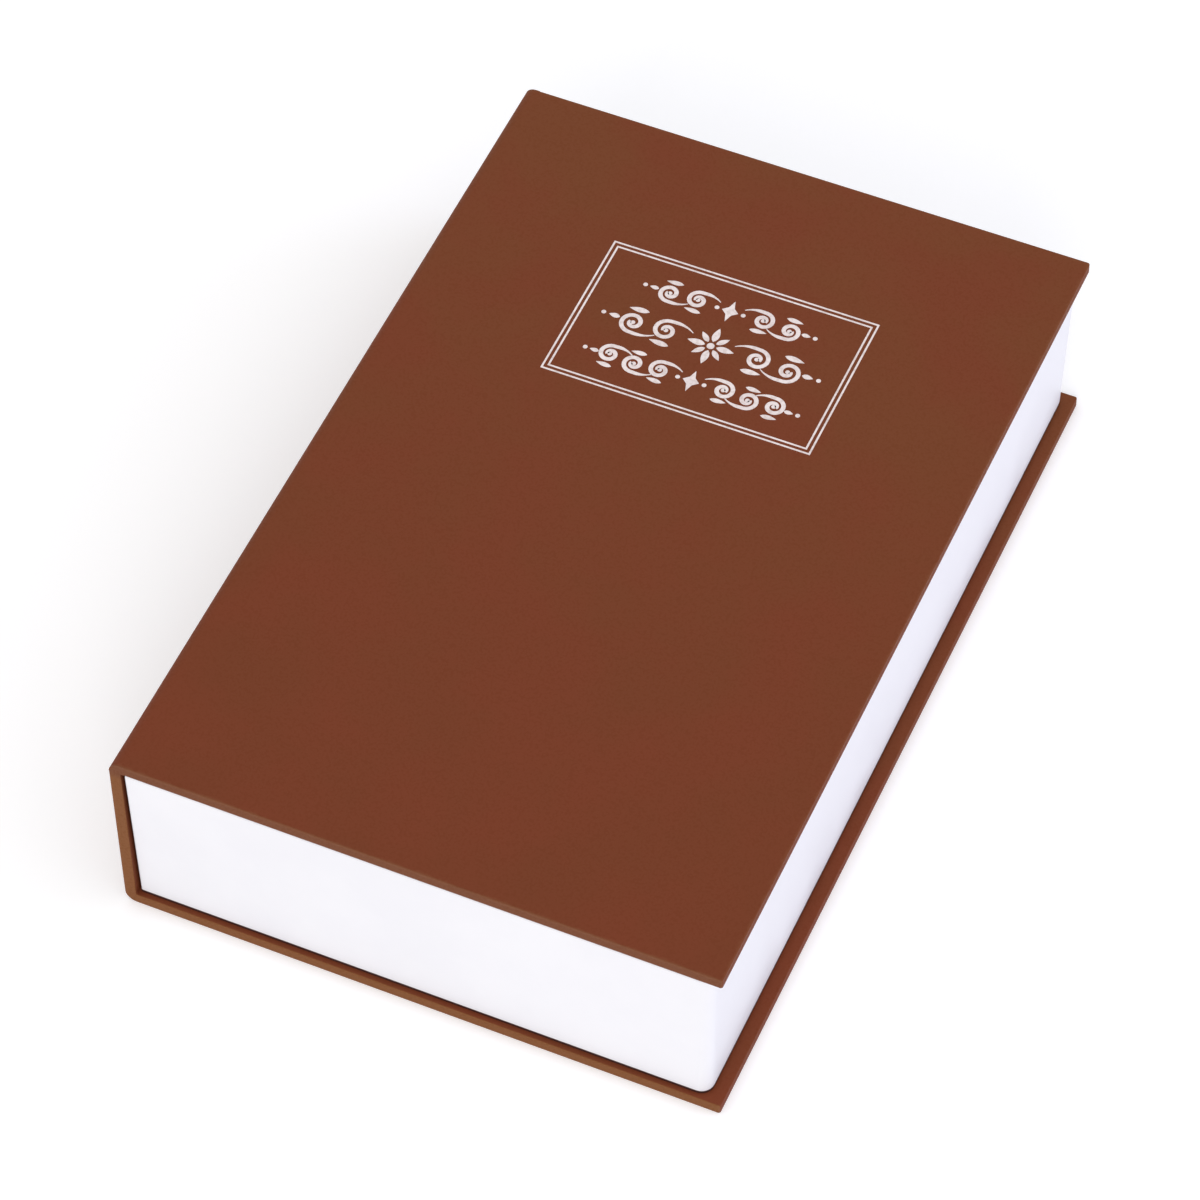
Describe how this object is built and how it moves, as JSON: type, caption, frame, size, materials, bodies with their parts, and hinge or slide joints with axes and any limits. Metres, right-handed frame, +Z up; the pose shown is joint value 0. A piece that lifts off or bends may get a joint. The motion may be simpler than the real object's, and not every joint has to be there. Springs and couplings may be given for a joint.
{
  "type": "book diversion safe",
  "caption": "Hardback book case over a white moulded page block that hides a hinged, cam-locked steel box; the front cover swings open at the spine.",
  "frame": {"origin": "middle of the back cover's outer face, on the surface the book lies on", "axes": "+X from spine to fore edge, +Y from tail to head, +Z up through the front cover"},
  "size_m": [0.157, 0.24, 0.055],
  "materials": {
    "cover_sheet": "brown leatherette over paper, fine grain, dull sheen",
    "grey_board": "raw grey book board",
    "lining_paper": "smooth cream endpaper",
    "white_plastic": "smooth white moulding, satin",
    "foam_tape": "closed-cell foam tape",
    "painted_steel": "black powder coat, fine texture",
    "zinc_steel": "zinc-plated steel",
    "chrome": "bright chrome plate",
    "brass": "stamped brass"
  },
  "bodies": {
    "case_and_box": {"back_cover_sheet": "cover_sheet", "back_board": "grey_board", "spine_board": "grey_board", "back_lining": "lining_paper", "hinge_cloth": "cover_sheet", "page_shell": "white_plastic", "foam_tape_1": "foam_tape", "foam_tape_2": "foam_tape", "tray_floor": "painted_steel", "steel_tray": "painted_steel", "fixed_hinge_leaf": "zinc_steel", "hinge_pin": "zinc_steel", "strike_plate": "zinc_steel", "tray_hinge_rivet_1": "zinc_steel", "tray_hinge_rivet_2": "zinc_steel", "tray_hinge_rivet_3": "zinc_steel", "tray_hinge_rivet_4": "zinc_steel", "tray_hinge_rivet_5": "zinc_steel", "strike_rivet_1": "zinc_steel", "strike_rivet_2": "zinc_steel"},
    "front_cover": {"front_cover_sheet": "cover_sheet", "front_board": "grey_board", "front_lining": "lining_paper"},
    "lid": {"lid": "painted_steel", "moving_hinge_leaf": "zinc_steel", "lid_hinge_rivet_1": "zinc_steel", "lid_hinge_rivet_2": "zinc_steel", "lid_hinge_rivet_3": "zinc_steel", "lid_hinge_rivet_4": "zinc_steel", "lid_hinge_rivet_5": "zinc_steel", "lock_body": "chrome", "lock_washer": "zinc_steel", "lock_nut": "zinc_steel"},
    "lock_plug": {"lock_plug": "chrome", "wafer_1": "brass", "wafer_2": "brass", "wafer_3": "brass", "wafer_4": "brass", "lock_cam": "zinc_steel", "cam_washer": "zinc_steel", "cam_screw": "zinc_steel"}
  },
  "joints": [
    {"name": "cover_hinge", "type": "hinge", "parent": "case_and_box", "child": "front_cover", "pos_m": [-0.0772, 0, 0.0537], "axis": [0, -1, 0], "range_deg": [0, 195], "deforming": ["hinge_cloth"]},
    {"name": "lid_hinge", "type": "hinge", "parent": "case_and_box", "child": "lid", "pos_m": [-0.0632, 0, 0.048], "axis": [0, -1, 0], "range_deg": [0, 110]},
    {"name": "lock_turn", "type": "hinge", "parent": "lid", "child": "lock_plug", "pos_m": [0.0391, 0, 0.042], "axis": [0, 0, -1], "range_deg": [0, 90]}
  ],
  "couplings": [
    {"joint": "lid_hinge", "follows": "cover_hinge", "ratio": 0.564}
  ]
}
